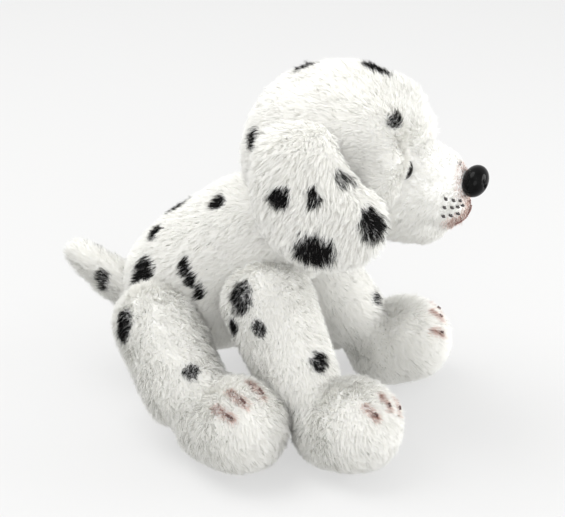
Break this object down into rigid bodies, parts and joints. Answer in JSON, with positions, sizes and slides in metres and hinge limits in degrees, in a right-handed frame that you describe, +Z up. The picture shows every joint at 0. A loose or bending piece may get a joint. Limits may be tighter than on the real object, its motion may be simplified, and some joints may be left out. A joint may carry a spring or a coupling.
{
  "type": "plush dog",
  "caption": "Sitting plush dog with short white pile, black spots, hanging ears, plastic eyes and nose, and a head, ears, legs and tail that bend at their seams.",
  "frame": {"origin": "on the floor under the middle of the dog's overall box", "axes": "+Z up, the dog faces -Y, its left side is +X; it stands on its four soles at Z = 0"},
  "size_m": [0.1666, 0.2125, 0.1765],
  "materials": {
    "plush": "matte",
    "sole_plush": "matte",
    "stuffing": "matte",
    "eye_plastic": "gloss",
    "nose_plastic": "gloss",
    "washer_plastic": "satin",
    "whisker_thread": "matte",
    "toe_thread": "matte",
    "mouth_thread": "matte"
  },
  "bodies": {
    "torso": {"back_left": "plush", "back_right": "plush", "belly": "plush", "torso_stuffing": "stuffing"},
    "neck": {"neck_stuffing": "stuffing"},
    "head": {"head_gusset": "plush", "head_chin": "plush", "head_side_left": "plush", "head_side_right": "plush", "head_stuffing": "stuffing", "nose": "nose_plastic", "nose_washer": "washer_plastic", "mouth_stitches": "mouth_thread", "eye_left": "eye_plastic", "eye_right": "eye_plastic", "eye_washer_left": "washer_plastic", "eye_washer_right": "washer_plastic", "whisker_stitches_left": "whisker_thread", "whisker_stitches_right": "whisker_thread"},
    "tail": {"tail_side_left": "plush", "tail_side_right": "plush", "tail_stuffing": "stuffing"},
    "ear_left": {"ear_front_left": "plush", "ear_lining_left": "plush"},
    "front_leg_left": {"front_leg_outer_left": "plush", "front_leg_inner_left": "plush", "front_sole_left": "sole_plush", "front_leg_stuffing_left": "stuffing", "front_toe_stitches_left": "toe_thread"},
    "hind_leg_left": {"hind_leg_outer_left": "plush", "hind_leg_inner_left": "plush", "hind_sole_left": "sole_plush", "hind_leg_stuffing_left": "stuffing", "hind_toe_stitches_left": "toe_thread"},
    "ear_right": {"ear_front_right": "plush", "ear_lining_right": "plush"},
    "front_leg_right": {"front_leg_outer_right": "plush", "front_leg_inner_right": "plush", "front_sole_right": "sole_plush", "front_leg_stuffing_right": "stuffing", "front_toe_stitches_right": "toe_thread"},
    "hind_leg_right": {"hind_leg_outer_right": "plush", "hind_leg_inner_right": "plush", "hind_sole_right": "sole_plush", "hind_leg_stuffing_right": "stuffing", "hind_toe_stitches_right": "toe_thread"}
  },
  "joints": [
    {"name": "head_turn", "type": "hinge", "parent": "torso", "child": "neck", "pos_m": [0, -0.008, 0.095], "axis": [0, 0, 1], "range_deg": [-20, 20], "stiffness_Nm_per_rad": 0.25},
    {"name": "head_nod", "type": "hinge", "parent": "neck", "child": "head", "pos_m": [0, -0.008, 0.095], "axis": [1, 0, 0], "range_deg": [-12, 10], "stiffness_Nm_per_rad": 0.6},
    {"name": "tail_wag", "type": "hinge", "parent": "torso", "child": "tail", "pos_m": [0, 0.068, 0.048], "axis": [0, -0.4789, 0.8779], "range_deg": [-25, 25], "stiffness_Nm_per_rad": 0.02},
    {"name": "ear_lift_left", "type": "hinge", "parent": "head", "child": "ear_left", "pos_m": [0.034, -0.035, 0.155], "axis": [0, -1, 0], "range_deg": [0, 70], "stiffness_Nm_per_rad": 0.01, "springref_deg": -20.05},
    {"name": "front_leg_swing_left", "type": "hinge", "parent": "torso", "child": "front_leg_left", "pos_m": [0.025, -0.014, 0.073], "axis": [-1, 0, 0], "range_deg": [0, 30], "stiffness_Nm_per_rad": 0.2, "springref_deg": -5.73},
    {"name": "hind_leg_swing_left", "type": "hinge", "parent": "torso", "child": "hind_leg_left", "pos_m": [0.032, 0.04, 0.052], "axis": [1, 0, 0], "range_deg": [0, 25], "stiffness_Nm_per_rad": 0.2, "springref_deg": -5.73},
    {"name": "ear_lift_right", "type": "hinge", "parent": "head", "child": "ear_right", "pos_m": [-0.034, -0.035, 0.155], "axis": [0, 1, 0], "range_deg": [0, 70], "stiffness_Nm_per_rad": 0.01, "springref_deg": -20.05},
    {"name": "front_leg_swing_right", "type": "hinge", "parent": "torso", "child": "front_leg_right", "pos_m": [-0.025, -0.014, 0.073], "axis": [-1, 0, 0], "range_deg": [0, 30], "stiffness_Nm_per_rad": 0.2, "springref_deg": -5.73},
    {"name": "hind_leg_swing_right", "type": "hinge", "parent": "torso", "child": "hind_leg_right", "pos_m": [-0.032, 0.04, 0.052], "axis": [1, 0, 0], "range_deg": [0, 25], "stiffness_Nm_per_rad": 0.2, "springref_deg": -5.73}
  ]
}
